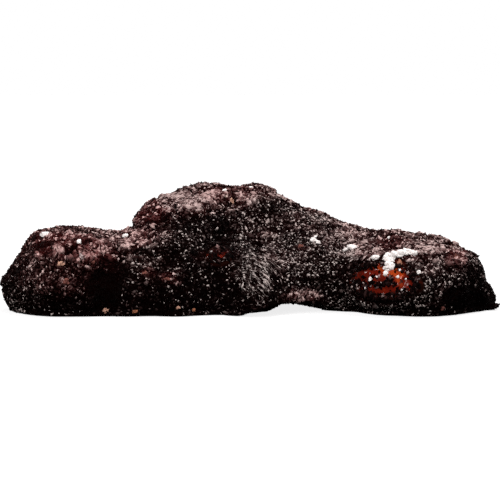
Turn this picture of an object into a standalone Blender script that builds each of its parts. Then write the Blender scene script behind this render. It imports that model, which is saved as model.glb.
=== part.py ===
"""Chocolate lava cookie: a low, lumpy mound of dark baked dough with a molten centre that shows at its front.

The frame is in metres, +Z up, with the origin at the middle of the flat base and the front towards -Y.
The dough is a cluster of rounded lobes grown into one body. The molten centre is a pool inside it, with two
short arms that reach the front: a wide one at the right and a narrow one left of the middle.
"""

from collections import namedtuple

import bmesh
import bpy
from mathutils import Matrix, Vector

MM = 0.001

# Driving dimensions, in millimetres.
DOUGH_VOXEL = 2.6  # size of the dough's facets
POOL_VOXEL = 1.8  # size of the molten centre's facets
GAP = 0.4  # clearance between the molten centre and the dough round it
BULGE = 0.3  # how far the molten centre stands out where it reaches the front
BASE_CUT = 30.0  # depth of the block that cuts the base flat, below z = 0
BASE_SPAN = 200.0  # width of that block
LUMP_SIZE = 9.0  # width of the small swellings on the dough
LUMP_HEIGHT = 1.6  # how far they rise and sink
DOUGH_SMOOTHING = 3  # passes that round the creases between the dough's lobes
POOL_SMOOTHING = 3  # the same, for the molten centre
SMOOTHING_FACTOR = 0.5  # how far each pass moves a point towards its neighbours
LOBE_SEGMENTS = 40  # facets round a lobe
LOBE_RINGS = 24  # facets from a lobe's foot to its top

# A lobe is an ellipsoid: its centre, then its half-lengths along X, Y and Z, in millimetres.
Lobe = namedtuple("Lobe", "name x y z rx ry rz")

DOUGH_LOBES = (
    # The low slab that everything grows out of.
    Lobe("slab_left", -12, 6, 2, 34, 32, 9.5),
    Lobe("slab_right", 14, 7, 2, 32, 31, 9.5),
    # The dome, with its flat crown, the brow at its front and the shoulder at its left.
    Lobe("crown_left", -8.5, 1, 10, 10.7, 15, 14.1),
    Lobe("crown_right", 0.8, 3, 10, 9.5, 15, 13.8),
    Lobe("crown_back", -4, 13, 6, 15, 16, 12.5),
    Lobe("shoulder", -15.6, -3, 9, 9.2, 14, 12.1),
    Lobe("brow", -11.5, -10, 12, 10, 11, 8.6),
    Lobe("dome_face", -14, -16, 4, 10.5, 19.5, 12.8),
    Lobe("ridge", 9.5, 0, 7, 12.5, 16, 12),
    Lobe("ridge_end", 21, -4, 6, 14, 15, 9.2),
    Lobe("flank", 13, -9, 4, 12, 18, 10.5),
    Lobe("fan", 2, -19, 2, 6.5, 16.5, 11.5),
    Lobe("cleft", -5, -17, 2, 7, 14, 10),
    # The rim, anticlockwise from the front left.
    Lobe("left_ball", -33.8, -18, 5.4, 12.9, 19, 11),
    Lobe("left_lip", -40, -17, 5, 8.6, 11, 4.6),
    Lobe("left_saddle", -22, -17, 4, 9, 19, 10.8),
    Lobe("right_ball", 32, -16, 5.2, 14.8, 21.5, 9.4),
    Lobe("right_side", 34, 5, 4, 12.5, 19, 8),
    Lobe("back_right", 19, 23, 3.5, 18, 16.5, 8.8),
    Lobe("back", -1, 27, 3.5, 20, 15.5, 10.5),
    Lobe("back_left", -20, 21, 3.5, 18, 17, 8.2),
    Lobe("left_side", -33, 4, 3.5, 13, 17, 8),
    # Thin edges that crept out on the tray while the dough baked.
    Lobe("right_skirt", 39.3, -13, 0, 10, 14, 2.8),
    Lobe("left_skirt", -44, -17, 2, 4.6, 5, 1.8),
)

POOL_LOBES = (
    Lobe("pool", 9, -9, 7.5, 16, 10, 4),
    Lobe("right_arm", 27.8, -23.5, 6, 9.2, 15, 4.3),
    Lobe("left_arm", -6, -18, 10, 4.6, 12.2, 2.1),
)

# The arch where the front edge of the base stands clear of the table, between the two front bulges.
ARCH = Lobe("arch", 10, -36, -3, 16, 20, 5.6)


def clear_scene():
    for leftover in list(bpy.data.objects):
        bpy.data.objects.remove(leftover)


def new_collection(name, rendered=True):
    collection = bpy.data.collections.new(name)
    collection.hide_render = not rendered
    bpy.context.scene.collection.children.link(collection)
    return collection


def new_material(name, colour, roughness):
    material = bpy.data.materials.new(name)
    material.use_nodes = True
    shader = material.node_tree.nodes["Principled BSDF"]
    shader.inputs["Base Color"].default_value = (*colour, 1.0)
    shader.inputs["Roughness"].default_value = roughness
    shader.inputs["Metallic"].default_value = 0.0
    return material


def lobe_cluster(name, lobes, collection):
    """One mesh object that holds every lobe as its own closed sphere."""
    cluster = bmesh.new()
    for lobe in lobes:
        place = Matrix.Translation(Vector((lobe.x, lobe.y, lobe.z)) * MM)
        stretch = Matrix.Diagonal((lobe.rx * MM, lobe.ry * MM, lobe.rz * MM, 1.0))
        bmesh.ops.create_uvsphere(
            cluster, u_segments=LOBE_SEGMENTS, v_segments=LOBE_RINGS, radius=1.0, matrix=place @ stretch
        )
    mesh = bpy.data.meshes.new(name)
    cluster.to_mesh(mesh)
    cluster.free()
    made = bpy.data.objects.new(name, mesh)
    collection.objects.link(made)
    return made


def grow_together(cluster, voxel, smoothing):
    """Turns overlapping lobes into one skin and rounds the creases between them."""
    remesh = cluster.modifiers.new("one_skin", "REMESH")
    remesh.mode = "VOXEL"
    remesh.voxel_size = voxel * MM
    remesh.use_smooth_shade = True
    smooth = cluster.modifiers.new("round_creases", "SMOOTH")
    smooth.factor = SMOOTHING_FACTOR
    smooth.iterations = smoothing


def add_lumps(dough):
    """Small swellings from a cloud pattern, so that no lobe stays a perfect ellipsoid."""
    clouds = bpy.data.textures.new("dough_lumps", "CLOUDS")
    clouds.noise_scale = LUMP_SIZE * MM
    clouds.noise_depth = 1
    lumps = dough.modifiers.new("lumps", "DISPLACE")
    lumps.texture = clouds
    lumps.texture_coords = "LOCAL"
    lumps.mid_level = 0.5
    lumps.strength = LUMP_HEIGHT * MM


def offset_skin(shape, distance):
    """Moves a closed skin outwards by a distance in millimetres."""
    grown = shape.modifiers.new("offset", "DISPLACE")
    grown.mid_level = 0.0
    grown.strength = distance * MM


def combine(target, other, operation):
    """Cuts the target with the other object, or keeps what they share, and leaves the other out."""
    boolean = target.modifiers.new(other.name, "BOOLEAN")
    boolean.operation = operation
    boolean.object = other
    boolean.solver = "EXACT"
    other.hide_render = True
    other.display_type = "WIRE"


def table_block(collection):
    """The block below z = 0 that leaves the base flat."""
    bpy.ops.mesh.primitive_cube_add(size=1.0, location=(0.0, 0.0, -BASE_CUT / 2 * MM))
    block = bpy.context.object
    block.name = "table_block"
    block.scale = Vector((BASE_SPAN, BASE_SPAN, BASE_CUT)) * MM
    bpy.ops.object.transform_apply(location=False, rotation=False, scale=True)
    for holder in list(block.users_collection):
        holder.objects.unlink(block)
    collection.objects.link(block)
    return block


def dough_skin(name, collection):
    """The whole mound, before anything is cut from it."""
    dough = lobe_cluster(name, DOUGH_LOBES, collection)
    grow_together(dough, DOUGH_VOXEL, DOUGH_SMOOTHING)
    add_lumps(dough)
    return dough


def pool_skin(name, collection):
    """The pool with its two arms, which run out through the front of the dough."""
    pool = lobe_cluster(name, POOL_LOBES, collection)
    grow_together(pool, POOL_VOXEL, POOL_SMOOTHING)
    return pool


def footprint_centre(shape):
    """The middle of the evaluated shape's bounding box in X and Y."""
    bpy.context.view_layer.update()
    evaluated = shape.evaluated_get(bpy.context.evaluated_depsgraph_get())
    corners = [evaluated.matrix_world @ Vector(corner) for corner in evaluated.bound_box]
    middle = [(min(c[axis] for c in corners) + max(c[axis] for c in corners)) / 2 for axis in (0, 1)]
    return Vector((*middle, 0.0))


def main():
    clear_scene()
    parts = new_collection("chocolate_lava_cookie")
    cutters = new_collection("cutters", rendered=False)

    pocket = pool_skin("pocket", cutters)
    offset_skin(pocket, GAP)

    cookie = dough_skin("cookie", parts)
    cookie.data.materials.append(new_material("baked_dough", (0.028, 0.016, 0.013), 0.55))
    combine(cookie, table_block(cutters), "DIFFERENCE")
    combine(cookie, lobe_cluster("front_arch", (ARCH,), cutters), "DIFFERENCE")
    combine(cookie, pocket, "DIFFERENCE")

    front_limit = dough_skin("front_limit", cutters)
    offset_skin(front_limit, BULGE)

    centre = pool_skin("molten_centre", parts)
    centre.data.materials.append(new_material("molten_filling", (0.32, 0.05, 0.012), 0.15))
    combine(centre, front_limit, "INTERSECT")

    offset = footprint_centre(cookie)
    for piece in [*parts.objects, *cutters.objects]:
        piece.location -= offset


main()
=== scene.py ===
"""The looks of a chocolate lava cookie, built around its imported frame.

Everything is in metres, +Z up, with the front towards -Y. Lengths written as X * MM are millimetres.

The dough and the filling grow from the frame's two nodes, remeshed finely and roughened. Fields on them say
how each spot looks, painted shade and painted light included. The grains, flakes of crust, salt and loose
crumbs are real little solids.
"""

import math
from collections import namedtuple

import bmesh
import bpy
import numpy as np
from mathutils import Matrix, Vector, noise
from mathutils.bvhtree import BVHTree


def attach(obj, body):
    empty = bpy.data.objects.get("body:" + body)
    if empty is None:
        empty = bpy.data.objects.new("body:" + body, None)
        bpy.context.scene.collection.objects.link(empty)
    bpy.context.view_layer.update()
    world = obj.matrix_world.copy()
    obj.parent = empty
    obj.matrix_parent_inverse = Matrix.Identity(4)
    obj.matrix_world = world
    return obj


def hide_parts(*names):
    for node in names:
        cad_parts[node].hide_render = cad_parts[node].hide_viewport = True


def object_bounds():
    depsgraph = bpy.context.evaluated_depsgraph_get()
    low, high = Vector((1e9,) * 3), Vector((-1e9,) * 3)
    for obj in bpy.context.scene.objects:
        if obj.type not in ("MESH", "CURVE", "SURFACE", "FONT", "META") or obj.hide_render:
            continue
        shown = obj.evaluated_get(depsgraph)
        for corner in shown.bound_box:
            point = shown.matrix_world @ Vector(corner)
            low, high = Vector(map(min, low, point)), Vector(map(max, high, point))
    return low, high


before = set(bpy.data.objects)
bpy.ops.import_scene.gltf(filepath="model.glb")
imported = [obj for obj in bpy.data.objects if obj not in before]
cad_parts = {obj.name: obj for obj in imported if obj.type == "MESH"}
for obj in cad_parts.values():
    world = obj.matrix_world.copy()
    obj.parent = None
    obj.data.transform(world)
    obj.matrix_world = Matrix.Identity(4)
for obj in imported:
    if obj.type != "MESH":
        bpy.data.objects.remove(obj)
cad_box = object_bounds()

MM = 0.001
SEED = 4821

# ---------- the camera
CAMERA_ELEVATION = math.radians(4.0)
CAMERA_DISTANCE = 450 * MM
CAMERA_TARGET = Vector((0.0, -8.0, 10.4)) * MM
CLIP_START = 10 * MM
VIEW_WIDTH = 98.5 * MM  # at the target
SENSOR_WIDTH = 36.0  # millimetres
IMAGE_SIZE = 500  # pixels

VIEW_BACK = Vector((0.0, -math.cos(CAMERA_ELEVATION), math.sin(CAMERA_ELEVATION)))
VIEW_UP = Vector((0.0, math.sin(CAMERA_ELEVATION), math.cos(CAMERA_ELEVATION)))
VIEW_RIGHT = Vector((1.0, 0.0, 0.0))
EYE = CAMERA_TARGET + VIEW_BACK * CAMERA_DISTANCE


def add_object(name, data):
    made = bpy.data.objects.new(name, data)
    bpy.context.scene.collection.objects.link(made)
    return made


def add_aimed(name, data, place, direction):
    """A camera or a light that looks along a direction."""
    made = add_object(name, data)
    made.location = place
    made.rotation_mode = "QUATERNION"
    made.rotation_quaternion = direction.to_track_quat("-Z", "Y")
    return made


def make_camera():
    camera = add_aimed("camera", bpy.data.cameras.new("camera"), EYE, -VIEW_BACK)
    camera.data.sensor_width = SENSOR_WIDTH
    camera.data.lens = SENSOR_WIDTH * CAMERA_DISTANCE / VIEW_WIDTH
    camera.data.clip_start = CLIP_START
    bpy.context.scene.camera = camera


def sight_line(pixel_x, pixel_y):
    """The direction from the eye through a pixel of the 500 x 500 image."""
    scale = VIEW_WIDTH / CAMERA_DISTANCE / IMAGE_SIZE
    across = (pixel_x - IMAGE_SIZE / 2) * scale
    down = (pixel_y - IMAGE_SIZE / 2) * scale
    return (-VIEW_BACK + VIEW_RIGHT * across - VIEW_UP * down).normalized()


def to_pixels(points):
    """Where points in space land in that image."""
    rays = points - np.array(EYE)
    depth = rays @ np.array(-VIEW_BACK)
    scale = IMAGE_SIZE * CAMERA_DISTANCE / VIEW_WIDTH / depth
    middle = IMAGE_SIZE / 2
    return middle + (rays @ np.array(VIEW_RIGHT)) * scale, middle - (rays @ np.array(VIEW_UP)) * scale


# ---------- small helpers
OVAL_CORE = 0.55  # an oval has its full strength up to this share of its size
WELD_DISTANCE = 0.001 * MM

# Noise: its width, its height, how many layers it has, and a shift that makes it unlike others.
Pattern = namedtuple("Pattern", "size height layers shift", defaults=(1, 0.0))


def ramp(low, high, value):
    t = np.clip((value - low) / (high - low), 0.0, 1.0)
    return t * t * (3.0 - 2.0 * t)


def bell(middle, width, value):
    """1 at the middle, and nearly 0 two widths away."""
    return np.exp(-(((value - middle) / width) ** 2))


def blob(x, y, centre_x, centre_y, half_x, half_y):
    """1 in the middle of an oval, falling to 0 at its edge."""
    away = np.hypot((x - centre_x) / half_x, (y - centre_y) / half_y)
    return 1.0 - ramp(OVAL_CORE, 1.0, away)


def waves(points, pattern, share=1.0):
    """Smooth noise, with a share of the pattern's height."""
    place = (points / pattern.size + pattern.shift).tolist()
    if pattern.layers == 1:
        heights = np.array([noise.noise(p) for p in place])
    else:
        heights = np.array([noise.fractal(p, 1.0, 2.0, pattern.layers) for p in place])
    return pattern.height * share * heights


def bent(points, pattern):
    """Points moved by noise."""
    axes = [pattern._replace(shift=pattern.shift + axis) for axis in range(3)]
    return points + np.column_stack([waves(points, each) for each in axes])


def cells(points, pattern):
    """Distances to the nearest and second nearest cell centre, in cell widths."""
    place = (points / pattern.size + pattern.shift).tolist()
    near = np.array([noise.voronoi(p)[0][:2] for p in place])
    return near[:, 0], near[:, 1]


def unit(vectors):
    return vectors / np.linalg.norm(vectors, axis=1)[:, None]


def read_rows(items, name, width, kind=np.float32):
    """One property of many items, a row for each."""
    values = np.empty(len(items) * width, kind)
    items.foreach_get(name, values)
    return values.reshape(-1, width)


def mesh_arrays(mesh):
    """A mesh's vertex places and normals."""
    rows = read_rows(mesh.vertices, "co", 3), read_rows(mesh.vertex_normals, "vector", 3)
    return [each.astype(float) for each in rows]


def move_vertices(mesh, places):
    mesh.vertices.foreach_set("co", places.astype(np.float32).ravel())
    mesh.update()


def store_fields(mesh, fields):
    """Keeps numbers for every point of a mesh."""
    for name, values in fields.items():
        made = mesh.attributes.new(name, "FLOAT", "POINT")
        made.data.foreach_set("value", values.astype(np.float32))


def apply_modifiers(obj):
    """Bakes an object's modifiers into its mesh."""
    graph = bpy.context.evaluated_depsgraph_get()
    baked = bpy.data.meshes.new_from_object(obj.evaluated_get(graph))
    obj.modifiers.clear()
    old = obj.data
    obj.data = baked
    bpy.data.meshes.remove(old)


def fine_copy(node, name, voxel, smoothing):
    """A finely remeshed copy of a CAD node."""
    copy = add_object(name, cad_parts[node].data.copy())
    copy.data.materials.clear()
    weld = copy.modifiers.new("weld", "WELD")
    weld.merge_threshold = WELD_DISTANCE
    remesh = copy.modifiers.new("remesh", "REMESH")
    remesh.mode = "VOXEL"
    remesh.voxel_size = voxel
    smooth = copy.modifiers.new("smooth", "SMOOTH")
    smooth.iterations = smoothing
    apply_modifiers(copy)
    return copy


def face_tree(*meshes):
    """A search tree of several meshes' faces."""
    places, faces = [], []
    for mesh in meshes:
        start = len(places)
        places += [v.co.copy() for v in mesh.vertices]
        faces += [tuple(start + i for i in f.vertices) for f in mesh.polygons]
    return BVHTree.FromPolygons(places, faces)


def gap_to(node, places):
    """How far each point is from a CAD node."""
    tree = face_tree(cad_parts[node].data)
    return np.array([tree.find_nearest(p)[3] for p in places.tolist()])


# ---------- the dough
SKIN_VOXEL, SKIN_SMOOTHING = 0.38 * MM, 6
SKIN_SHRINK = 0.3 * MM  # room for the grains on it
SKIN_TOP = cad_box[1][2] + 0.3 * MM
FLAT_FOOT = 1.0 * MM  # below this height the skin is ever smoother
POCKET_REACH = 0.8 * MM  # skin this close to the filling is its pocket's wall, hidden like the base
HIDDEN_DETAIL, HIDDEN_FIRST = 0.05, 1000.0  # the share of triangles kept there, and how soon they go
THINNED_BASE, BARE_BASE = (0.25 * MM, -0.8), (0.1 * MM, -0.5)  # the base's greatest height and normal's Z

BACK_SWELLS = Pattern(10.0 * MM, 1.3 * MM, 3, 51.0)  # behind the front, which has its folds
SWELLS = Pattern(6.0 * MM, 0.5 * MM, 2)
KNOBS, KNOB_BENDS = Pattern(2.7 * MM, 0.3 * MM), Pattern(1.7 * MM, 0.5 * MM, 1, 1.0)
KNOB_SHARES = (0.5, 0.4, 0.3)  # of that height: everywhere, and more where it is reddish or dry
CRUMB, FAN_SMOOTHING = Pattern(1.15 * MM, 0.36 * MM, 1, 5.0), 0.6
CELL_RIM, PITS = 0.5, (0.45, 0.85)  # how far from its centre a crumb stands up, and turns into a pit
CRUST_RISE, WET_SINK, CRUST_EDGE = 0.6 * MM, 0.3, (0.35, 0.6)  # dry crust lies higher than wet crumb
STEEP_ROUGHNESS = 0.8  # how much rougher an upright face is than a level one
CREST, CREST_SMOOTHING = (0.1, 0.14), 0.55  # how far the outline faces the front; the roughness it loses

CRACKS, CRACK_BENDS = Pattern(8.5 * MM, 0.9 * MM, 1, 9.0), Pattern(4.0 * MM, 2.0 * MM, 1, 21.0)
CRACK_FLOOR, CRACK_EDGE, FRONT_NARROWING = 0.02, 0.15, 0.06  # in cell widths
CRACKED_AREAS, CRACKED_RANGE = Pattern(14 * MM, 1.0, 1, 4.4), (-0.1, 0.3)
CRACKED_CRUST = (0.25, 0.7)  # how dry it is

STREAK_SPACING = 0.9 * MM  # of the lines of crumb in the fan
RIDGE_SPACING, RIDGE_HEIGHT = 1.7 * MM, 0.22 * MM  # of the ridges under them
STREAK_SLANT = math.radians(52)  # how steeply they run down to the right
STREAK_BENDS, STREAK_BREAKS = Pattern(5.0 * MM, 0.8 * MM, 1, 3.1), Pattern(2.2 * MM, 1.0, 1, 11.7)
BREAK_RANGE = (-0.5, 0.3)

ROUGH_FROM, WALL_ROUGHNESS = (POCKET_REACH, 2.0 * MM), 0.25  # the pocket's wall keeps this share
LIP_RISE, LIP_REACH = 0.4 * MM, (0.9 * MM, 2.4 * MM)  # how far the dough closes in round the filling
STAIN_GAIN, STAIN_REACH, STAIN_EDGES = 3.0, (0.8 * MM, 1.5 * MM), Pattern(1.6 * MM, 0.7 * MM, 2)

# How light each kind of surface looks, as a share of white on the screen.
WET_TONE, DRY_TONE, BLACKEST = 0.055, 0.235, 0.004
DARKEST_FACE, DARKEST_OVALS = 0.035, (0.1, 0.3)  # the least tone before the shades, outside those ovals
TONES = Pattern(4.0 * MM, 0.06, 3, 13.0)
# How unevenly light it is, as logarithms: everywhere, on dry crust and behind the front.
CLUMPS = Pattern(2.2 * MM, 0.5, 3, 17.0), Pattern(1.5 * MM, 1.3, 2, 18.0), Pattern(8.0 * MM, 0.5, 2, 19.0)
# Painted shade: in the folds, along the front's outline, on the foot but for its lit stretch, and in the
# cracks.
SHADED_FOLDS, FOLD_SHADE = (0.15 * MM, 1.1 * MM), 0.5
CREST_SHADE = 0.5  # the photo shows the outline against the light
FOOT_HEIGHT, FOOT_SHADE, CRACK_SHADE = 3.0 * MM, 0.35, 0.7

DRY_SLOPES = (0.5, 1.0)  # the normal's Z where the skin starts to be dry, and is fully so
DRY_AREAS = Pattern(9.0 * MM, 0.25, 3)
REDDISH_AREAS, REDDISH_RANGE = Pattern(7 * MM, 1.0, 2, 7.3), (0.1, 0.6)
REDDISH_FRONT, REDDISH_BACK = 0.35, 0.4  # how reddish those are, and how much more so behind the front
MOST_REDDISH = 2.0

FRONT_FADE = (-2.0 * MM, 8.0 * MM)  # along Y, where the front's marks fade out
# Behind the front they sway from side to side. Heights are in pixels here.
SWAY, SWAY_FADE = Pattern(11.0 * MM, 26.0, 2, 61.0), (-24.0 * MM, -6.0 * MM)
SWAY_STRETCH = np.array((0.4, 1.0, 0.4))
# How the ovals' outlines wander.
DOUGH_WARP, GLOW_WARP = Pattern(3.0 * MM, 4.0, 2, 31.0), Pattern(1.6 * MM, 3.0, 2, 41.0)
SMEAR_WARP = Pattern(1.6 * MM, 2.0, 2, 43.0)
DOWN_SHIFT = 6.0  # makes the wandering down the image unlike that across it

# Where the base's edge moves up or down: the middle's x and y, half-lengths and how far, in millimetres.
LIP_MOVES = (
    (8.0, -20.5, 7, 8.5, 1.2),  # the arch's ceiling
    (9.5, -33, 8, 4.5, -0.4), (0.5, -28, 6, 16, -1.0), (19.5, -28, 8, 16, -0.6),
)
LIP_HEIGHTS = (0.5 * MM, 6.0 * MM)  # the skin moves along up to here, ever less from the first on
# Ovals on the image where the skin moves out or in: centre, half-sizes in pixels, then millimetres.
PUSHES = (
    (4, 258, 34, 34, -0.9), (60, 222, 50, 12, -0.3),
    (113, 238, 14, 12, 0.2),  # the notch right of the left lobe
    (134, 216, 12, 10, 0.4),
    (250, 180, 60, 10, -0.4),  # the crest
    (172, 188, 6, 8, -0.2),
    (455, 234, 54, 22, -0.8),  # the right lobe
    (430, 234, 18, 9, 0.55), (390, 231, 14, 8, 0.5), (271, 190, 14, 8, -0.4), (309, 207, 16, 8, -0.5),
    (150, 205, 12, 10, 0.3),
    (500, 308, 16, 5, 2.0),  # the thin edge at the right end
    (2, 280, 10, 7, 0.8), (490, 294, 10, 14, 0.5),
    (190, 198, 16, 10, 0.4),  # the brow
)

# Ovals on the image: centre x and y, half-width and half-height in pixels, then a strength.
DRY_PATCHES = (
    (190, 200, 34, 13, 0.8),  # the brow
    (150, 212, 16, 14, 0.4),
    (137, 236, 24, 14, 0.8),  # the saddle
    (304, 295, 22, 11, 0.45),  # beside the arch
    (414, 242, 66, 13, 0.6),  # the top of the right lobe
    (374, 255, 26, 10, 0.6),  # above the filling
    (66, 246, 50, 18, 0.2), (457, 258, 12, 12, 0.35), (275, 194, 22, 8, 0.4),
)
WET_PATCHES = (
    (300, 260, 76, 36, 0.7),  # the long slope
    (310, 226, 46, 16, 0.5),
    (212, 240, 60, 34, 0.9),  # the dome's face
    (262, 215, 36, 20, 0.4), (298, 214, 22, 14, 0.4),
    (105, 290, 26, 34, 0.8),  # the valley
    (215, 292, 36, 22, 0.6),  # the cleft
    (476, 300, 26, 18, 0.9),  # the right end
)
# Ovals where the front is lighter: partly lighter crumb, partly painted light where faces catch it, as on
# the fan.
LIT_AND_LIGHTER_PATCHES = (
    (257, 273, 27, 32, 0.18),  # the fan
    (180, 200, 36, 10, 0.04),  # the brow
    (192, 205, 9, 5, 0.38), (172, 197, 17, 7, 0.13), (211, 197, 8, 6, 0.22), (226, 191, 6, 5, 0.12),
    (120, 237, 12, 9, 0.12),
    (140, 237, 18, 11, 0.11),  # the saddle
    (300, 240, 80, 44, 0.10), (285, 196, 22, 8, 0.12), (358, 229, 18, 6, 0.18),
    (410, 245, 56, 13, 0.07),  # the right lobe's crust
    (300, 288, 20, 11, 0.10), (312, 297, 21, 9, 0.13), (334, 303, 16, 6, 0.07), (280, 268, 24, 26, 0.04),
    (20, 268, 16, 24, 0.06), (32, 296, 26, 16, 0.05), (200, 230, 40, 14, 0.02), (360, 296, 44, 14, 0.09),
    (420, 296, 34, 14, 0.06),
    (62, 266, 52, 30, 0.05),  # the left lobe
    (104, 240, 18, 14, 0.08), (66, 283, 11, 8, 0.2), (82, 258, 6, 8, 0.2), (32, 272, 7, 14, 0.07),
    (354, 252, 10, 8, 0.3), (376, 254, 10, 7, 0.2), (185, 245, 18, 16, 0.03), (430, 276, 36, 22, 0.14),
    (400, 303, 60, 10, 0.08), (416, 262, 8, 6, 0.2), (148, 272, 10, 7, 0.10), (170, 278, 14, 6, 0.12),
    (135, 268, 14, 20, 0.07), (203, 270, 6, 12, 0.05), (245, 268, 12, 12, 0.04), (148, 210, 12, 9, 0.05),
    (240, 205, 24, 14, 0.06), (248, 225, 10, 20, 0.06),
)
# Ovals of painted shade on the front: the valley, the cleft, creases, under the brow, the foot, the right
# end.
PAINTED_SHADE_PATCHES = (
    (106, 290, 20, 30, 0.30),  # the valley
    (212, 292, 34, 22, 0.08),  # the cleft
    (472, 300, 28, 17, 0.35),  # the right end
    (90, 308, 50, 10, 0.06),
    (165, 306, 60, 12, 0.08),  # the foot
    (176, 224, 16, 10, 0.06),  # under the brow
    (200, 222, 34, 10, 0.05), (170, 262, 14, 12, 0.06), (222, 243, 16, 10, 0.08),
    (217, 256, 20, 8, 0.06),  # the small patch of filling
    (252, 240, 12, 10, 0.08), (282, 274, 8, 18, 0.06), (8, 275, 8, 22, 0.06), (118, 264, 12, 18, 0.05),
    (70, 300, 30, 10, 0.03), (154, 216, 18, 14, 0.12), (205, 188, 18, 5, 0.14), (245, 187, 26, 6, 0.14),
    (372, 238, 30, 8, 0.08), (44, 248, 14, 10, 0.08), (70, 252, 8, 8, 0.08), (330, 226, 14, 8, 0.06),
    (392, 240, 16, 5, 0.14),  # the right lobe's crease
    (450, 262, 8, 8, 0.06), (434, 252, 12, 5, 0.08), (340, 227, 18, 8, 0.15), (60, 241, 46, 8, 0.07),
    (54, 246, 24, 8, 0.07), (94, 245, 14, 7, 0.07), (100, 256, 10, 8, 0.04),
)
REDDISH_PATCHES = (
    (62, 262, 78, 46, 1.3),  # the left lobe
    (152, 213, 22, 16, 1.3), (137, 236, 20, 12, 0.7), (457, 258, 14, 16, 0.9), (148, 272, 12, 8, 1.6),
    (170, 278, 16, 7, 1.6),
    (216, 256, 26, 9, 1.4),  # the small patch of filling
    (302, 246, 10, 6, 0.9), (222, 192, 26, 12, 0.7), (392, 240, 20, 7, 0.8),
    (382, 280, 44, 26, 0.5),  # the large one
    (304, 296, 26, 12, 0.9),
)
# Folds in the face: from x, y to x, y, half-width in pixels, then depth in millimetres.
FOLDS = (
    (112, 256, 106, 306, 11, 2.0),  # right of the left lobe
    (112, 236, 112, 256, 8, 0.5),
    (160, 217, 200, 213, 6, 1.1),  # under the brow
    (200, 213, 232, 205, 5, 0.7), (134, 226, 160, 230, 4, 0.7), (172, 196, 178, 213, 4, 0.4),
    (120, 250, 146, 252, 4, 0.6),
    (232, 226, 205, 250, 7, 1.1),  # the dome's face
    (180, 250, 158, 268, 7, 1.0), (246, 226, 268, 258, 6, 0.8), (268, 258, 286, 288, 6, 0.6),
    (218, 262, 226, 306, 9, 1.3),  # the cleft
    (352, 252, 378, 244, 4, 0.8),  # over the filling
    (378, 244, 432, 250, 4, 0.5), (432, 250, 452, 268, 5, 0.6), (60, 256, 92, 250, 4, 0.5),
    (84, 262, 96, 284, 5, 0.7),
)
LIT_FOOT = (360, 302, 90, 18)  # the only stretch of the foot that isn't dark
FAN = (259, 272, 32, 36)
# Where the filling shows its colour most.
GLOW_PATCHES = (
    (392, 269, 18, 12, 0.65),  # the brightest part
    (380, 292, 9, 7, 0.2), (384, 279, 32, 20, 0.4), (364, 280, 13, 16, 0.15), (404, 282, 13, 10, 0.3),
    (219, 254, 16, 5, 0.26),
)
# Where dark crumb covers it, and in the first oval painted shade in a hole.
GLOW_HOLES = (
    (389, 283, 7, 4, 1.2), (374, 285, 14, 3, 0.4), (403, 278, 9, 2.5, 0.2), (362, 281, 6, 7, 0.25),
)


def front_only(places):
    """1 on the half of the cookie that the camera sees, falling to 0 behind it."""
    return 1.0 - ramp(*FRONT_FADE, places[:, 1])


def crest_share(normals, crest):
    """1 where the skin turns away from the front's view, falling to 0 on the faces."""
    return bell(*crest, normals @ np.array(VIEW_BACK))


def uneven_pixels(places, warp):
    """Where points land in the image, moved by noise so that ovals have uneven edges."""
    x, y = to_pixels(places)
    deep = ramp(*SWAY_FADE, places[:, 1])
    x = x + waves(places, warp) + waves(places * SWAY_STRETCH, SWAY, deep)
    return x, y + waves(places, warp._replace(shift=warp.shift + DOWN_SHIFT))


def patches(x, y, ovals):
    return sum(strength * blob(x, y, cx, cy, rx, ry) for cx, cy, rx, ry, strength in ovals)


def fold_depth(x, y):
    """How deep the folds cut, in metres."""
    depth = np.zeros(len(x))
    for x0, y0, x1, y1, width, millimetres in FOLDS:
        run = np.array((x1 - x0, y1 - y0), float)
        share = np.clip(((x - x0) * run[0] + (y - y0) * run[1]) / (run @ run), 0.0, 1.0)
        away = np.hypot(x - x0 - share * run[0], y - y0 - share * run[1])
        depth = np.maximum(depth, millimetres * MM * bell(0.0, width, away))
    return depth


def crack_lines(places, front):
    """1 along the cracks of the dry crust, which are widest behind the front."""
    near, second = cells(bent(places, CRACK_BENDS), CRACKS)
    lines = 1.0 - ramp(CRACK_FLOOR, CRACK_EDGE - FRONT_NARROWING * front, second - near)
    return lines * ramp(*CRACKED_RANGE, waves(places, CRACKED_AREAS))


def streaks(places, spacing):
    """Slanting lines, bent and broken by noise: 1 on a line and -1 between two."""
    along_slant = places[:, 0] * math.sin(STREAK_SLANT) + places[:, 2] * math.cos(STREAK_SLANT)
    lines = np.sin((along_slant + waves(places, STREAK_BENDS)) * (2 * math.pi / spacing))
    return lines * ramp(*BREAK_RANGE, waves(places, STREAK_BREAKS))


def filling_glow(places):
    """How strongly the filling shows its colour."""
    x, y = uneven_pixels(places, GLOW_WARP)
    return np.clip(patches(x, y, GLOW_PATCHES) - patches(x, y, GLOW_HOLES), 0.0, 1.0)


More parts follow.
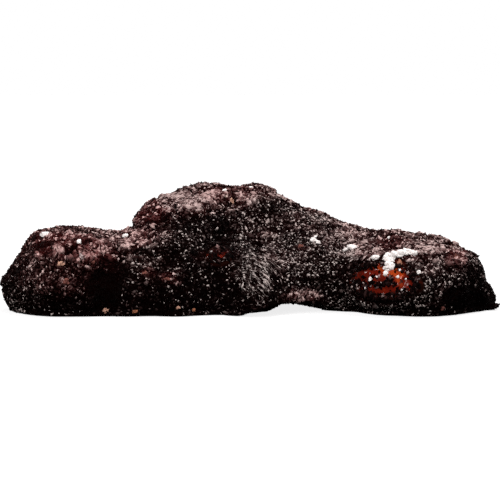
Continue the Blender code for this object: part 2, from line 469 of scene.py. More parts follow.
def dough_tone(places, normals, x, y, dry, fold, crack):
    front = front_only(places)
    dark = patches(x, y, PAINTED_SHADE_PATCHES)
    tone = WET_TONE + (DRY_TONE - WET_TONE) * dry + waves(places, TONES)
    # painted light and lighter crumb from the front's ovals, less their painted shade
    tone += front * (patches(x, y, LIT_AND_LIGHTER_PATCHES) - dark)
    tone = np.maximum(tone, DARKEST_FACE * (1.0 - front * ramp(*DARKEST_OVALS, dark)))
    for pattern, share in zip(CLUMPS, (1.0, dry, 1.0 - front)):
        tone *= np.exp(waves(places, pattern, share))
    # painted shade in the folds, along the front's outline, on the foot and in the cracks
    tone *= 1.0 - FOLD_SHADE * ramp(*SHADED_FOLDS, fold)
    tone *= 1.0 - CREST_SHADE * front * crest_share(normals, CREST)
    lit_foot = front * blob(x, y, *LIT_FOOT)
    tone *= 1.0 - FOOT_SHADE * (1.0 - lit_foot) * (1.0 - ramp(0.0, FOOT_HEIGHT, places[:, 2]))
    tone *= 1.0 - CRACK_SHADE * crack
    return np.clip(tone, BLACKEST, 1.0)


def dough_fields(places, normals):
    """The dough's fields, how deep it is folded, and where it is cracked."""
    x, y = uneven_pixels(places, DOUGH_WARP)
    front = front_only(places)
    dry = ramp(*DRY_SLOPES, normals[:, 2] + waves(places, DRY_AREAS))
    dry = np.clip(dry + front * (patches(x, y, DRY_PATCHES) - patches(x, y, WET_PATCHES)), 0.0, 1.0)
    fold = front * fold_depth(x, y)
    crack = crack_lines(places, front) * ramp(*CRACKED_CRUST, dry)
    reddish = front * patches(x, y, REDDISH_PATCHES)
    in_area = ramp(*REDDISH_RANGE, waves(places, REDDISH_AREAS))
    reddish += (REDDISH_FRONT + REDDISH_BACK * (1.0 - front)) * in_area
    fields = {
        "dry": dry,
        "reddish": np.clip(reddish, 0.0, MOST_REDDISH),
        "tone": dough_tone(places, normals, x, y, dry, fold, crack),
        "fan": front * blob(x, y, *FAN),
    }
    return fields, fold, crack


def dough_rise(places, normals, fields, fold, crack, crumb_near, gap):
    """How far the dough's points move out along their normals."""
    front = front_only(places)
    dry, fan, reddish = fields["dry"], fields["fan"], np.minimum(fields["reddish"], 1.0)
    rise = waves(places, SWELLS)
    knob_near, _ = cells(bent(places, KNOB_BENDS), KNOBS)
    everywhere, in_reddish, in_dry = KNOB_SHARES
    rise += KNOBS.height * (CELL_RIM - knob_near) * (everywhere + in_reddish * reddish + in_dry * dry)
    rise += CRUMB.height * (CELL_RIM - crumb_near) * (1.0 - FAN_SMOOTHING * fan)
    rise += CRUST_RISE * (ramp(*CRUST_EDGE, dry) - WET_SINK)
    rise += waves(places, BACK_SWELLS, 1.0 - front)
    rise -= CRACKS.height * crack
    rise += RIDGE_HEIGHT * fan * streaks(places, RIDGE_SPACING)
    rise *= 1.0 + STEEP_ROUGHNESS * (1.0 - np.abs(normals[:, 2]))
    rise *= 1.0 - CREST_SMOOTHING * front * crest_share(normals, CREST)
    rise += front * patches(*to_pixels(places), PUSHES) * MM - fold - SKIN_SHRINK
    outside = ramp(*ROUGH_FROM, gap)
    rise *= ramp(0.0, FLAT_FOOT, places[:, 2]) * (WALL_ROUGHNESS + (1.0 - WALL_ROUGHNESS) * outside)
    return rise + LIP_RISE * (1.0 - ramp(*LIP_REACH, gap))


def on_base(places, normals, height, tilt):
    return (places[:, 2] < height) & (normals[:, 2] < tilt)


def thin_hidden_faces(obj, hidden):
    """Keeps full detail only where the dough can be seen."""
    group = obj.vertex_groups.new(name="hidden")
    group.add(np.flatnonzero(hidden).tolist(), 1.0, "REPLACE")
    thin = obj.modifiers.new("thin", "DECIMATE")
    thin.vertex_group = group.name
    thin.vertex_group_factor = HIDDEN_FIRST
    thin.ratio = 1.0 - float(hidden.mean()) * (1.0 - HIDDEN_DETAIL)
    apply_modifiers(obj)


def make_dough():
    dough = fine_copy("cookie", "dough", SKIN_VOXEL, SKIN_SMOOTHING)
    places, normals = mesh_arrays(dough.data)
    in_pocket = gap_to("molten_centre", places) < POCKET_REACH
    thin_hidden_faces(dough, on_base(places, normals, *THINNED_BASE) | in_pocket)

    places, normals = mesh_arrays(dough.data)
    gap = gap_to("molten_centre", places)
    crumb_near, _ = cells(places, CRUMB)
    fields, fold, crack = dough_fields(places, normals)
    rise = dough_rise(places, normals, fields, fold, crack, crumb_near, gap)
    places = places + normals * rise[:, None]
    lift = patches(places[:, 0] / MM, places[:, 1] / MM, LIP_MOVES) * MM
    places[:, 2] += lift * (1.0 - ramp(*LIP_HEIGHTS, places[:, 2]))
    places[:, 2] = np.clip(places[:, 2], 0.0, SKIN_TOP)
    move_vertices(dough.data, places)

    stain = np.minimum(STAIN_GAIN * filling_glow(places), 1.0)
    fields["stain"] = stain * (1.0 - ramp(*STAIN_REACH, gap + waves(places, STAIN_EDGES)))
    # where the pits between crumbs get painted shade
    fields["pit"] = ramp(*PITS, crumb_near)
    hidden = (gap < POCKET_REACH) | on_base(places, normals, *BARE_BASE)
    fields["unseen"] = hidden.astype(float)
    store_fields(dough.data, fields)
    dough.data.shade_smooth()
    return dough


# ---------- scattering small solids
Shape = namedtuple("Shape", "points faces")
# A grain: two points at its ends, and three round its waist.
GRAIN = Shape(
    np.array([(1, 0, 0), (-1, 0, 0), (0, 1, 0), (0, -0.5, 0.87), (0, -0.5, -0.87)], float),
    np.array([(0, 2, 3), (0, 3, 4), (0, 4, 2), (1, 3, 2), (1, 4, 3), (1, 2, 4)]),
)
FLAKE_RIM = 6  # points round a flake of crust, which has two more, above and below
LOWEST_SOLID, HIGHEST_SOLID = 0.02 * MM, SKIN_TOP + 0.3 * MM  # where little solids end


def flake():
    turns = [i * math.tau / FLAKE_RIM for i in range(FLAKE_RIM)]
    points = [(math.cos(t), math.sin(t), 0.0) for t in turns] + [(0.0, 0.0, 1.0), (0.0, 0.0, -1.0)]
    pairs = [(i, (i + 1) % FLAKE_RIM) for i in range(FLAKE_RIM)]
    faces = [(a, b, FLAKE_RIM) for a, b in pairs] + [(b, a, FLAKE_RIM + 1) for a, b in pairs]
    return Shape(np.array(points), np.array(faces))


def icosphere():
    """A round solid of 42 points and 80 faces."""
    ball = bmesh.new()
    bmesh.ops.create_icosphere(ball, subdivisions=2, radius=1.0)
    points = np.array([v.co[:] for v in ball.verts])
    faces = np.array([[v.index for v in f.verts] for f in ball.faces])
    ball.free()
    return Shape(points, faces)


def random_turns(rng, count):
    """Rotation matrices that point every way alike."""
    w, x, y, z = unit(rng.normal(size=(count, 4))).T
    rows = [
        [1 - 2 * (y * y + z * z), 2 * (x * y - w * z), 2 * (x * z + w * y)],
        [2 * (x * y + w * z), 1 - 2 * (x * x + z * z), 2 * (y * z - w * x)],
        [2 * (x * z - w * y), 2 * (y * z + w * x), 1 - 2 * (x * x + y * y)],
    ]
    return np.array(rows).transpose(2, 0, 1)


def scatter(name, shape, places, turns, sizes, jitter, rng, fields):
    """Many uneven copies of a shape, as one object."""
    points, faces = shape
    count = len(places)
    corners = points[None] * (1.0 + jitter * rng.uniform(-1.0, 1.0, (count, len(points), 1)))
    corners = corners * sizes[:, None, :]
    corners = np.einsum("nij,nvj->nvi", turns, corners) + places[:, None, :]
    corners[:, :, 2] = np.clip(corners[:, :, 2], LOWEST_SOLID, HIGHEST_SOLID)
    all_faces = faces[None] + len(points) * np.arange(count)[:, None, None]
    mesh = bpy.data.meshes.new(name)
    mesh.from_pydata(corners.reshape(-1, 3), [], all_faces.reshape(-1, 3), shade_flat=False)
    store_fields(mesh, {field: np.repeat(values, len(points)) for field, values in fields.items()})
    return add_object(name, mesh)


class Surface:
    """A mesh's triangles, to draw random spots from."""

    def __init__(self, mesh):
        mesh.calc_loop_triangles()
        self.corners = read_rows(mesh.loop_triangles, "vertices", 3, np.int32)
        self.places, self.normals = mesh_arrays(mesh)
        a, b, c = (self.places[self.corners[:, i]] for i in range(3))
        self.areas = 0.5 * np.linalg.norm(np.cross(b - a, c - a), axis=1)
        self.fields = {}
        for layer in mesh.attributes:
            if layer.data_type == "FLOAT" and layer.domain == "POINT":
                self.fields[layer.name] = read_rows(layer.data, "value", 1)[:, 0].astype(float)

    def draw(self, rng, count, weight, spacing):
        """Random spots: at most one in each cube as wide as the spacing."""
        chance = self.areas * weight[self.corners].mean(axis=1)
        chosen = rng.choice(len(chance), size=count, p=chance / chance.sum())
        share = rng.dirichlet((1.0, 1.0, 1.0), size=count)
        spots = (self.places[self.corners[chosen]] * share[:, :, None]).sum(axis=1)
        cubes = np.floor(spots / spacing).astype(np.int64)
        _, first = np.unique(cubes, axis=0, return_index=True)
        first.sort()
        corners, share = self.corners[chosen[first]], share[first]
        facing = unit((self.normals[corners] * share[:, :, None]).sum(axis=1))
        read = {name: (values[corners] * share).sum(axis=1) for name, values in self.fields.items()}
        return spots[first], facing, read


# ---------- the granular skin
# A grain's sink is how deep its middle lies in the skin, as a share of its size.
GrainKind = namedtuple("GrainKind", "name tries spacing size sink seed")
WET_GRAINS = GrainKind("wet_grains", 90000, 0.44 * MM, 0.21 * MM, 0.2, SEED)
DRY_GRAINS = GrainKind("dry_grains", 90000, 0.48 * MM, 0.28 * MM, 0.3, SEED + 1)
RIM_GRAINS = GrainKind("rim_grains", 5000, 0.45 * MM, 0.25 * MM, 0.0, SEED + 4)
MOST_GRAINS = 32000  # of one kind
DRY_GRAIN_CRUST = (0.3, 0.6)  # how dry it is where dry grains start, and where all are dry
GRAIN_JITTER, GRAIN_SPREAD, GRAIN_SHAPES = 0.25, 0.28, (0.7, 1.3)
# In the fan they are longer and smaller, lie along its streaks and are striped.
GRAIN_LENGTH, FAN_LENGTH, FAN_LOSS = 1.5, 2.0, 0.25
GRAIN_TURN, FAN_ORDER, FAN_STRIPES = 1.6, 1.4, 1.3
SOFT_GROWTH = 0.3  # where the dough is reddish
# Spreads of the logarithm of their lightness, in dark places and in light ones. The wide spread in dark
# places makes the few far lighter grains there, which are painted glints.
SPREAD_TONES, SPREADS = (0.03, 0.35), (1.5, 0.88)
SOFT_SPREAD = 0.65  # the share left where it is reddish
LIGHTEST_GRAIN = 0.62
SHORTEST = 1e-6  # keeps a division from failing

FLAKE_TRIES, FLAKE_SPACING, FLAKE_SEED = 9000, 0.75 * MM, SEED + 5
# Length, width and thickness, each with the least and the most of it that a flake has.
FLAKE_SIZES = ((0.52 * MM, 0.6, 1.3), (0.52 * MM, 0.4, 1.0), (0.12 * MM, 0.7, 1.3))
FLAKE_SPREAD, FLAKE_TILT, FLAKE_JITTER = 0.18, 0.18, 0.35
FLAKE_TONES, FLAKE_CRUST = (0.26, 0.42), (0.2, 0.5)  # how light and dry it is there
FLAKE_FREE_CREST = (0.05, 0.15)  # none stands up along the front's outline
FLAKE_GAIN, FLAKE_LIGHT_SPREAD = 1.35, 0.3  # against the dough's tone


def grain_lightness_and_glints(rng, tone, soft):
    """Most grains are about as light as their place, and a few are far lighter:
    light crumb on the dry crust, and painted glints on the dark wet face.
    """
    spread = np.interp(tone, SPREAD_TONES, SPREADS) * (1.0 - (1.0 - SOFT_SPREAD) * soft)
    return np.minimum(tone * np.exp(spread * rng.normal(size=len(tone))), LIGHTEST_GRAIN)


def lying_turns(rng, facing, spread):
    """Rotations that lay long sides along the skin, roughly the way the fan's streaks run."""
    run = np.array((math.cos(STREAK_SLANT), 0.0, -math.sin(STREAK_SLANT)))
    along = run - facing * (facing @ run)[:, None]
    along /= np.maximum(np.linalg.norm(along, axis=1), SHORTEST)[:, None]
    turn = (spread * rng.normal(size=len(facing)))[:, None]
    long = along * np.cos(turn) + np.cross(facing, along) * np.sin(turn)
    roll = rng.uniform(0.0, 2.0 * math.pi, len(facing))[:, None]
    side = np.cross(facing, long) * np.cos(roll) + facing * np.sin(roll)
    return np.stack([long, side, np.cross(long, side)], axis=2)


def make_grains(kind, surface, weight):
    """Bits of crumb on a surface, denser where the weight is greater."""
    rng = np.random.default_rng(kind.seed)
    spots, facing, read = surface.draw(rng, kind.tries, weight, kind.spacing)
    keep = rng.permutation(len(spots))[:MOST_GRAINS]
    spots, facing = spots[keep], facing[keep]
    read = {field: values[keep] for field, values in read.items()}
    count, fan, soft = len(spots), read["fan"], np.minimum(read["reddish"], 1.0)
    sizes = kind.size * np.exp(GRAIN_SPREAD * rng.normal(size=(count, 1)))
    sizes = sizes * rng.uniform(*GRAIN_SHAPES, (count, 3))
    sizes *= (1.0 - FAN_LOSS * fan + SOFT_GROWTH * soft)[:, None]
    sizes[:, 0] *= GRAIN_LENGTH + FAN_LENGTH * fan
    places = spots - facing * (kind.sink * sizes.mean(axis=1))[:, None]
    turns = lying_turns(rng, facing, GRAIN_TURN - FAN_ORDER * fan)
    lined = np.exp(FAN_STRIPES * fan * streaks(spots, STREAK_SPACING))
    read["light"] = grain_lightness_and_glints(rng, read["tone"] * lined, soft)
    return scatter(kind.name, GRAIN, places, turns, sizes, GRAIN_JITTER, rng, read)


def make_flakes(surface, outer):
    """Flat bits of dusty crust that lie where the dough is lightest."""
    rng = np.random.default_rng(FLAKE_SEED)
    fields = surface.fields
    weight = outer * ramp(*FLAKE_TONES, fields["tone"]) * ramp(*FLAKE_CRUST, fields["dry"])
    weight *= 1.0 - crest_share(surface.normals, FLAKE_FREE_CREST) * front_only(surface.places)
    spots, facing, read = surface.draw(rng, FLAKE_TRIES, weight, FLAKE_SPACING)
    count = len(spots)
    sizes = np.column_stack([size * rng.uniform(low, high, count) for size, low, high in FLAKE_SIZES])
    sizes[:, :2] *= np.exp(FLAKE_SPREAD * rng.normal(size=(count, 1)))
    tilted = unit(facing + FLAKE_TILT * rng.normal(size=(count, 3)))
    long = unit(np.cross(tilted, rng.normal(size=(count, 3))))
    turns = np.stack([long, np.cross(tilted, long), tilted], axis=2)
    light = FLAKE_GAIN * read["tone"] * np.exp(FLAKE_LIGHT_SPREAD * rng.normal(size=count))
    read["light"] = np.minimum(light, LIGHTEST_GRAIN)
    return scatter("crust_flakes", flake(), spots, turns, sizes, FLAKE_JITTER, rng, read)


# ---------- salt and loose crumbs
# A clump's parts: how many, how large for the clump, how uneven, and how round (1 is a ball).
ClumpKind = namedtuple("ClumpKind", "name parts share jitter roundness seed")
SALT_FLAKES = ClumpKind("salt_flakes", 20, 0.6, 0.14, 0.85, SEED + 2)
LOOSE_CRUMBS = ClumpKind("loose_crumbs", 14, 0.42, 0.3, 1.0, SEED + 3)

PIXEL = VIEW_WIDTH / IMAGE_SIZE  # how much of the cookie one pixel covers
# A clump's depth, how far its parts reach, and how high it stands, all for its half-sizes.
CLUMP_DEPTH, CLUMP_REACH, CLUMP_RISE = 0.75, 1.1, 0.25
CLUMP_ORDER = 0.75  # how closely the parts' long sides follow the clump's
PART_SIZES, PART_SHAPES, PART_SHADES = (0.8, 1.2), (0.8, 1.2), (0.8, 1.15)
SMALLEST_PART, DROP_HEIGHT = 0.12 * MM, 100 * MM

# Seen from the front: x and y of the middle, half-width and half-height, all in pixels.
SALT_IN_FRONT = (
    (388, 258, 6, 4.5), (394, 256, 7, 5), (400, 255, 7, 5), (407, 253, 7, 4.5), (413, 254, 5, 3.5),
    (391, 262, 7, 6), (390, 266, 6, 5), (388, 270, 5, 4.5), (386, 274, 3.5, 3.5), (376, 258, 6, 3.5),
    (352, 248, 6, 3.5), (346, 250, 3, 2.5), (313, 241, 4, 3), (318, 243, 3, 2.5), (316, 237, 2.5, 2),
    (389, 238, 2, 1.5), (371, 280, 2.5, 4.5), (419, 272, 2.5, 2.5), (398, 277, 2, 2), (400, 270, 1.5, 1.5),
    (406, 279, 1.2, 1.2), (366, 288, 1.4, 2), (359, 283, 1.3, 1.3), (402, 290, 1.5, 1.2),
    (377, 277, 1.1, 1.1), (45, 235, 6, 3), (79, 243, 3.5, 3.5), (125, 237, 5, 3), (224, 191, 3, 2.5),
    (251, 188, 2.5, 1.5),
)
# Seen from above: x and y in millimetres, half-sizes in pixels.
SALT_ON_TOP = (
    (-24, 12, 6, 3), (-21, 13, 4, 3), (-6, 24, 5, 3), (14, 14, 7, 3), (17, 16, 5, 3), (30, 6, 5, 3),
    (33, 9, 3, 2), (24, 28, 5, 3), (-34, -4, 4, 3), (-13, 33, 4, 3), (4, 8, 4, 2.5), (37, -6, 4, 2.5),
    (-38, 14, 4, 3),
)
TAN = (0.5, 0.28, 0.2)
PALE = (0.42, 0.33, 0.32)
ORANGE = (0.42, 0.16, 0.08)
RED = (0.17, 0.055, 0.042)
CREAM = (0.75, 0.56, 0.5)
AMBER = (0.42, 0.19, 0.12)
# The same for loose crumbs, each with its colour.
CRUMBS_IN_FRONT = (
    (106, 311, 5, 3.5, TAN), (135, 311, 3.5, 3.5, ORANGE), (178, 308, 3, 2.5, TAN),
    (193, 310, 2.5, 2.5, ORANGE), (443, 308, 4, 2.5, RED), (61, 265, 4, 5, TAN), (66, 282, 5, 4, RED),
    (231, 201, 3, 4, TAN), (226, 197, 2, 2, CREAM), (145, 273, 4, 3, RED), (168, 279, 5, 2.5, RED),
    (301, 247, 4, 3, RED), (456, 258, 4, 4, RED), (93, 262, 3, 2.5, RED), (82, 257, 4, 5.5, PALE),
    (399, 264, 4.5, 5, AMBER),
)
CRUMBS_ON_TOP = (
    (-30, 6, 3, 3, TAN), (8, 30, 3, 3, ORANGE), (22, 20, 3, 2.5, TAN), (-18, 28, 3, 3, RED),
    (-4, 12, 2.5, 2.5, CREAM), (36, 14, 3, 2.5, RED), (12, 4, 2.5, 2.5, TAN), (-40, 2, 3, 2.5, RED),
    (28, -2, 2.5, 2, CREAM), (2, 36, 3, 2.5, TAN),
)


def spot_in_front(tree, pixel_x, pixel_y):
    """Where a pixel's line of sight meets the cookie, or the nearest point if it misses."""
    line = sight_line(pixel_x, pixel_y)
    place, facing, _, _ = tree.ray_cast(EYE, line)
    if place is None:
        beside = EYE + line * ((CAMERA_TARGET - EYE).dot(line))
        place, facing, _, _ = tree.find_nearest(beside)
    return place, facing


def spot_on_top(tree, x, y):
    """The skin below a place that is given in millimetres."""
    place, facing, _, _ = tree.ray_cast(Vector((x * MM, y * MM, DROP_HEIGHT)), Vector((0.0, 0.0, -1.0)))
    return place, facing


def make_clumps(kind, tree, in_front, on_top):
    """Little heaps of solids, from tables of their places, sizes and colours."""
    rng = np.random.default_rng(kind.seed)
    shape = icosphere()
    shape = shape._replace(points=np.sign(shape.points) * np.abs(shape.points) ** kind.roundness)
    spots = [(spot_in_front(tree, x, y), rest) for x, y, *rest in in_front]
    spots += [(spot_on_top(tree, x, y), rest) for x, y, *rest in on_top]
    places, sizes, colours = [], [], []
    for (place, facing), (half_width, half_height, *colour) in spots:
        half = np.array((half_width, half_width * CLUMP_DEPTH, half_height)) * PIXEL
        for _ in range(kind.parts):
            away = rng.normal(size=3)
            away *= rng.uniform(0.0, CLUMP_REACH - kind.share) / np.linalg.norm(away)
            part = kind.share * rng.uniform(*PART_SIZES)
            shade = rng.uniform(*PART_SHADES)
            places.append(np.array(place) + np.array(facing) * CLUMP_RISE * half.min() + away * half)
            sizes.append(np.maximum(half * part * rng.uniform(*PART_SHAPES, 3), SMALLEST_PART))
            colours += [shade * np.array(c) for c in colour]
    turns = np.eye(3)[None] * CLUMP_ORDER + random_turns(rng, len(places)) * (1.0 - CLUMP_ORDER)
    fields = dict(zip(("red", "green", "blue"), np.array(colours).T))
    return scatter(kind.name, shape, np.array(places), turns, np.array(sizes), kind.jitter, rng, fields)


# ---------- the filling
FILLING_VOXEL, FILLING_SMOOTHING = 0.4 * MM, 4
OPEN_FACE_GAP = (0.7 * MM, 1.6 * MM)  # how far from the dough it starts to lie open, and is fully so
WALL_OVERLAP = 0.5 * MM  # how far it reaches towards the dough's wall
SINK = 0.2 * MM  # how far its open face lies back from the frame's
RIM_RISE = 0.4 * MM  # how far its rim swells, which closes the groove round it
RIPPLES = Pattern(1.8 * MM, 0.34 * MM, 2, 2.0)
GLOW_FADE = (0.35, 0.85)  # how open it lies where its colour starts, and is full
LEFT_OPENING = 8.0 * MM  # along X, the left opening lies below this
LEFT_RIM_TONE, RIGHT_RIM_TONE, RIM_REDDISH = 0.022, 0.045, 0.6  # the looks of the crumb on the filling
# An oval on the image where the left one's crumb is lighter and more reddish.
SMEAR, SMEAR_TONE, SMEAR_REDDISH = (219, 254, 13, 3.5), 0.05, 2.0
BARE_GLOW, BARE_FACE, RIM_START = (0.05, 0.25), (0.1, 0.5), (0.0, 0.05)  # where crumb ends and starts
STRAY_GRAINS = 0.005  # the share of grains that lie on the open filling


def make_filling():
    filling = fine_copy("molten_centre", "filling", FILLING_VOXEL, FILLING_SMOOTHING)
    places, normals = mesh_arrays(filling.data)
    open_face = ramp(*OPEN_FACE_GAP, gap_to("cookie", places))
    rise = (1.0 - open_face) * WALL_OVERLAP + open_face * (waves(places, RIPPLES) - SINK)
    rise += 4.0 * RIM_RISE * open_face * (1.0 - open_face)  # all of it where the face is half open
    move_vertices(filling.data, places + normals * rise[:, None])
    smear = blob(*uneven_pixels(places, SMEAR_WARP), *SMEAR)
    nowhere = np.zeros(len(places))
    tone = np.where(places[:, 0] < LEFT_OPENING, LEFT_RIM_TONE, RIGHT_RIM_TONE)
    fields = {
        "open_face": open_face,
        "glow": filling_glow(places) * ramp(*GLOW_FADE, open_face),
        "dry": nowhere,
        "fan": nowhere,
        "reddish": RIM_REDDISH + SMEAR_REDDISH * smear,
        "tone": tone + SMEAR_TONE * smear,
    }
    store_fields(filling.data, fields)
    filling.data.shade_smooth()
    return filling


def make_rim_grains(filling):
    """Wet crumb on the filling, but for where it glows."""
    surface = Surface(filling.data)
    open_face, glow = surface.fields["open_face"], surface.fields["glow"]
    covered = np.maximum(1.0 - ramp(*BARE_GLOW, glow), 1.0 - ramp(*BARE_FACE, open_face))
    weight = ramp(*RIM_START, open_face) * (covered**2 + STRAY_GRAINS)
    return make_grains(RIM_GRAINS, surface, weight)


# ---------- materials
# A ramp's numbers: what it reads from and to, then what it gives for them, 0 and 1 if left out.
WHITE = (1.0, 1.0, 1.0, 1.0)
# painted shade in the pits between crumbs
PIT_SHADE_BLACK = (0.003, 0.001, 0.0008, 1.0)
STAIN_RED = (0.05, 0.006, 0.003, 1.0)
FILLING_DARK = (0.012, 0.003, 0.002, 1.0)
FILLING_RED = (0.1, 0.007, 0.003, 1.0)
FILLING_ORANGE = (0.34, 0.042, 0.007, 1.0)
SALT_GREY = (0.62, 0.57, 0.55, 1.0)
SALT_WHITE = (0.88, 0.85, 0.83, 1.0)
GLINT_COLOUR = (1.0, 0.92, 0.9)

# How much stronger red is than green, as a share of white on the screen.
WET_RED, DRY_RED, REDDISH_RED = 0.042, 0.085, 0.035
RED_RAMP = (0.0, 0.15, 0.4, 1.0)  # the darkest crumb has less of it
GREEN_LOSS, BLUE_SHARE = 0.33, 0.975
CRUMB_GAIN, BLACK_POINT = 1.026, 0.035  # spread the lightness out, down to black
SRGB_SCALE, SRGB_OFFSET, SRGB_POWER, SRGB_BLACK = 1.055, 0.055, 2.4, 0.0008

# Specks of light crumb, which on the dark face are painted glints.
SPECKLE_SPACING, SPECKLE_SHARE, SPECKLE_EDGE = 0.36 * MM, 0.45, (0.32, 0.5, 1.0, 0.0)
SPECKLES_BY_TONE, DUST_BY_DRYNESS = (0.0, 0.2, 0.15, 0.6), (0.0, 1.0, 0.3, 0.7)
# Clouds: their width, detail and roughness, then a ramp.
DUST = (0.6 * MM, 4.0, 0.7, 0.35, 0.75, 0.15, 1.9)
SPECKLE_GROUPS = (2.4 * MM, 2.0, 0.5, 0.4, 0.6, 0.15, 1.0)
STAIN_CLOUDS = (3.0 * MM, 3.0, 0.5, 0.42, 0.58)
SALT_CLOUDS = (0.5 * MM, 2.0, 0.5, 0.35, 0.6)
CRUMB_SPOTS = (0.35 * MM, 3.0, 0.5, 0.3, 0.7, 0.45, 1.15)
# how strongly the pits between crumbs are darkened with painted shade
PIT_BLACKNESS = 0.85
DULL_GRAINS = (0.06, 0.25, 0.95)  # from dark to light ones, and how rough the dark ones are
FILLING_CLOUDS, CLOUD_RAMP = 1.2 * MM, (0.35, 0.65, -0.15, 0.15)
RED_FROM, ORANGE_FROM = (0.05, 0.4), (0.6, 1.0)  # the glow at which each colour starts and is full


def new_material(name):
    material = bpy.data.materials.new(name)
    material.use_nodes = True
    return material, material.node_tree


def connect(tree, socket, value):
    if isinstance(value, bpy.types.NodeSocket):
        tree.links.new(value, socket)
    else:
        socket.default_value = value


def add_node(tree, kind, values=None, **settings):
    """A node with settings, and with numbers or outputs on its sockets."""
    made = tree.nodes.new("ShaderNode" + kind)
    for setting, value in settings.items():
        setattr(made, setting, value)
    for socket, value in (values or {}).items():
        connect(tree, made.inputs[socket], value)
    return made


def set_shader(tree, values, bump=None):
    """Fills the shader's sockets. A bump is its strength, distance and height."""
    shader = tree.nodes["Principled BSDF"]
    if bump:
        made = add_node(tree, "Bump", dict(zip(("Strength", "Distance", "Height"), bump)))
        values = {**values, "Normal": made.outputs["Normal"]}
    for socket, value in values.items():
        connect(tree, shader.inputs[socket], value)


def field(tree, name):
    return add_node(tree, "Attribute", attribute_name=name).outputs["Fac"]


def on_object(tree, kind, size, values=None):
    """A texture node whose features are as wide as size."""
    place = add_node(tree, "TexCoord").outputs["Object"]
    return add_node(tree, kind, {"Vector": place, "Scale": 1.0 / size, **(values or {})})


def grain_texture(tree, size, detail=2.0, roughness=0.5):
    return on_object(tree, "TexNoise", size, {"Detail": detail, "Roughness": roughness}).outputs["Fac"]


def remap(tree, value, low, high, to_low=0.0, to_high=1.0):
    sockets = {"Value": value, "From Min": low, "From Max": high, "To Min": to_low, "To Max": to_high}
    return add_node(tree, "MapRange", sockets).outputs["Result"]


def clouds(tree, size, detail, roughness, *ramp):
    return remap(tree, grain_texture(tree, size, detail, roughness), *ramp)


def blend_colours(tree, share, first, second):
    mix = add_node(tree, "Mix", data_type="RGBA")
    for socket, value in ((mix.inputs["Factor"], share), (mix.inputs[6], first), (mix.inputs[7], second)):
        connect(tree, socket, value)
    return mix.outputs[2]


def calculate(tree, operation, *values):
    return add_node(tree, "Math", dict(enumerate(values)), operation=operation).outputs[0]


def multiply(tree, product, *others):
    for other in others:
        product = calculate(tree, "MULTIPLY", product, other)
    return product


def add(tree, first, second):
    return calculate(tree, "ADD", first, second)


def screen_to_light(tree, value):
    """Turns a share of white on the screen into reflectance."""
    scaled = calculate(tree, "MULTIPLY_ADD", value, 1 / SRGB_SCALE, SRGB_OFFSET / SRGB_SCALE)
    return add(tree, calculate(tree, "POWER", scaled, SRGB_POWER), -SRGB_BLACK)


def crumb_colour(tree, lightness):
    """The dough's colour at a lightness on the screen."""
    red_lift = remap(tree, field(tree, "dry"), 0.0, 1.0, WET_RED, DRY_RED)
    red_lift = add(tree, red_lift, multiply(tree, field(tree, "reddish"), REDDISH_RED))
    red_lift = multiply(tree, red_lift, remap(tree, lightness, *RED_RAMP))
    spread_out = add(tree, multiply(tree, lightness, CRUMB_GAIN), -BLACK_POINT)
    green = add(tree, spread_out, multiply(tree, red_lift, -GREEN_LOSS))
    green = calculate(tree, "MAXIMUM", green, 0.0)
    channels = {"Red": add(tree, green, red_lift), "Green": green, "Blue": multiply(tree, green, BLUE_SHARE)}
    reflectances = {name: screen_to_light(tree, value) for name, value in channels.items()}
    return add_node(tree, "CombineColor", reflectances).outputs[0]


def specks_and_glints(tree):
    """Crisp dots, each with a strength of its own: specks of light crumb, and painted glints on the dark
    face.
    """
    cell = on_object(tree, "TexVoronoi", SPECKLE_SPACING)
    chance = add_node(tree, "SeparateColor", {"Color": cell.outputs["Color"]}).outputs["Red"]
    strength = remap(tree, chance, 1.0 - SPECKLE_SHARE, 1.0)
    return multiply(tree, strength, remap(tree, cell.outputs["Distance"], *SPECKLE_EDGE))


def dough_colour(tree):
    """Nearly black crumb with a fine, uneven dust, specks of light crumb and painted glints,
    and painted shade in the pits between crumbs, stained near the filling.
    """
    tone = field(tree, "tone")
    light = multiply(tree, tone, clouds(tree, *DUST), remap(tree, field(tree, "dry"), *DUST_BY_DRYNESS))
    strength = remap(tree, tone, *SPECKLES_BY_TONE)
    # specks of light crumb and painted glints
    light = add(tree, light, multiply(tree, specks_and_glints(tree), clouds(tree, *SPECKLE_GROUPS), strength))
    stain = multiply(tree, field(tree, "stain"), clouds(tree, *STAIN_CLOUDS))
    colour = blend_colours(tree, stain, crumb_colour(tree, light), STAIN_RED)
    # painted shade in the pits between crumbs
    return blend_colours(tree, multiply(tree, field(tree, "pit"), PIT_BLACKNESS), colour, PIT_SHADE_BLACK)


def make_dough_material():
    material, tree = new_material("baked_dough")
    looks = {"Base Color": dough_colour(tree), "Roughness": 0.9, "Specular IOR Level": 0.0}
    pebbles = on_object(tree, "TexVoronoi", 0.42 * MM).outputs["Distance"]
    fine = add(tree, pebbles, grain_texture(tree, 0.3 * MM, detail=3.0))
    set_shader(tree, looks, bump=(0.9, 0.2 * MM, fine))
    return material


def make_grain_material(name, roughness):
    """Crumb grains. The roughness is that of the light ones."""
    material, tree = new_material(name)
    light = field(tree, "light")
    rough = remap(tree, light, *DULL_GRAINS, roughness)
    looks = {"Base Color": crumb_colour(tree, light), "Roughness": rough, "Specular IOR Level": 0.1}
    set_shader(tree, looks)
    return material


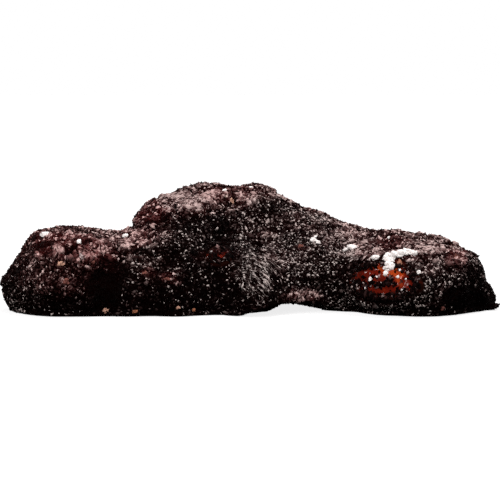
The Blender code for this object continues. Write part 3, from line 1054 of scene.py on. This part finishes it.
def make_filling_material():
    material, tree = new_material("molten_filling")
    cloud = grain_texture(tree, FILLING_CLOUDS, detail=3.0)
    glow = add(tree, field(tree, "glow"), remap(tree, cloud, *CLOUD_RAMP))
    colour = blend_colours(tree, remap(tree, glow, *RED_FROM), FILLING_DARK, FILLING_RED)
    colour = blend_colours(tree, remap(tree, glow, *ORANGE_FROM), colour, FILLING_ORANGE)
    looks = {"Base Color": colour, "Roughness": 0.15, "Specular IOR Level": 0.2}
    set_shader(tree, looks, bump=(0.12, 0.3 * MM, cloud))
    return material


def make_salt_material():
    material, tree = new_material("salt")
    colour = blend_colours(tree, clouds(tree, *SALT_CLOUDS), SALT_GREY, SALT_WHITE)
    set_shader(tree, {"Base Color": colour, "Roughness": 0.4})
    return material


def make_crumb_material():
    material, tree = new_material("loose_crumb")
    channels = {name: field(tree, name.lower()) for name in ("Red", "Green", "Blue")}
    colour = add_node(tree, "CombineColor", channels).outputs[0]
    sockets = {0: colour, 3: clouds(tree, *CRUMB_SPOTS)}
    scaled = add_node(tree, "VectorMath", sockets, operation="SCALE").outputs[0]
    set_shader(tree, {"Base Color": scaled, "Roughness": 0.75})
    return material


# ---------- the studio
FLOOR_SIZE, FLOOR_DROP = 40.0, 0.05 * MM
LIGHTS_AIM = Vector((0.0, 0.0, 8.0 * MM))
# The broad lights: name, azimuth, elevation and width in degrees, then strength.
SUNS = (("sky", 150.0, 66.0, 35.0, 3.0), ("front", -20.0, 38.0, 50.0, 2.0), ("bounce", 0.0, 6.0, 40.0, 0.5))
# A ring of small ones, which show as glints.
GLINTS, GLINT_START, GLINT_ELEVATIONS = 7, 25.0, (20.0, 44.0)
GLINT_DISTANCE, GLINT_POWER, GLINT_WIDTH = 0.5, 0.5, 0.1


def make_floor():
    bpy.ops.mesh.primitive_plane_add(size=FLOOR_SIZE, location=(0.0, 0.0, -FLOOR_DROP))
    floor = bpy.context.object
    floor.name = "floor"
    material, tree = new_material("pale_floor")
    looks = {"Base Color": (0.2, 0.2, 0.2, 1.0), "Roughness": 1.0, "Specular IOR Level": 0.0}
    set_shader(tree, {**looks, "Emission Color": WHITE, "Emission Strength": 0.82})
    floor.data.materials.append(material)
    floor.visible_diffuse = False
    floor.visible_glossy = False


def make_world():
    world = bpy.data.worlds.new("studio")
    world.use_nodes = True
    world.node_tree.nodes["Background"].inputs["Color"].default_value = WHITE
    world.cycles_visibility.diffuse = False
    world.cycles_visibility.glossy = False
    bpy.context.scene.world = world


def add_light(name, kind, azimuth, elevation, energy, distance=1.0):
    """A light that looks at the cookie. Azimuth 0 is the camera's side, and 90 is +X."""
    data = bpy.data.lights.new(name, kind)
    data.energy = energy
    turn, lift = math.radians(azimuth), math.radians(elevation)
    away = Vector((math.sin(turn) * math.cos(lift), -math.cos(turn) * math.cos(lift), math.sin(lift)))
    return add_aimed(name, data, away * distance + LIGHTS_AIM, -away)


def make_lights():
    for name, azimuth, elevation, width, strength in SUNS:
        light = add_light(name, "SUN", azimuth, elevation, strength)
        light.data.angle = math.radians(width)
        light.visible_glossy = False
    for index in range(GLINTS):
        azimuth = GLINT_START + 360.0 / GLINTS * index
        elevation = GLINT_ELEVATIONS[index % 2]
        light = add_light(f"glint_{index}", "AREA", azimuth, elevation, GLINT_POWER, GLINT_DISTANCE)
        light.data.shape = "DISK"
        light.data.size = GLINT_WIDTH
        light.data.color = GLINT_COLOUR


def set_colours():
    scene = bpy.context.scene
    scene.view_settings.view_transform = "Standard"
    scene.view_settings.look = "None"
    scene.cycles.use_denoising = False


# ---------- everything
def show(piece, slot, material, *nodes):
    piece.data.materials.clear()
    piece.data.materials.append(material)
    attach(piece, "root")
    if nodes:
        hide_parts(*nodes)


def main():
    make_camera()
    dough = make_dough()
    filling = make_filling()
    show(dough, "baked_dough", make_dough_material(), "cookie")
    show(filling, "molten_filling", make_filling_material(), "molten_centre")

    surface = Surface(dough.data)
    outer = 1.0 - surface.fields["unseen"]
    dry = ramp(*DRY_GRAIN_CRUST, surface.fields["dry"])
    wet_material = make_grain_material("wet_grain", 0.25)
    dry_material = make_grain_material("dry_grain", 0.6)
    show(make_grains(WET_GRAINS, surface, outer * (1.0 - dry)), "baked_dough", wet_material)
    show(make_grains(DRY_GRAINS, surface, outer * dry), "baked_dough", dry_material)
    show(make_flakes(surface, outer), "baked_dough", dry_material)
    show(make_rim_grains(filling), "baked_dough", wet_material)

    tree = face_tree(dough.data, filling.data)
    salt = make_clumps(SALT_FLAKES, tree, SALT_IN_FRONT, SALT_ON_TOP)
    show(salt, "salt", make_salt_material())
    salt.data.shade_smooth()
    crumbs = make_clumps(LOOSE_CRUMBS, tree, CRUMBS_IN_FRONT, CRUMBS_ON_TOP)
    show(crumbs, "crumbs", make_crumb_material())

    make_floor()
    make_world()
    make_lights()
    set_colours()


main()
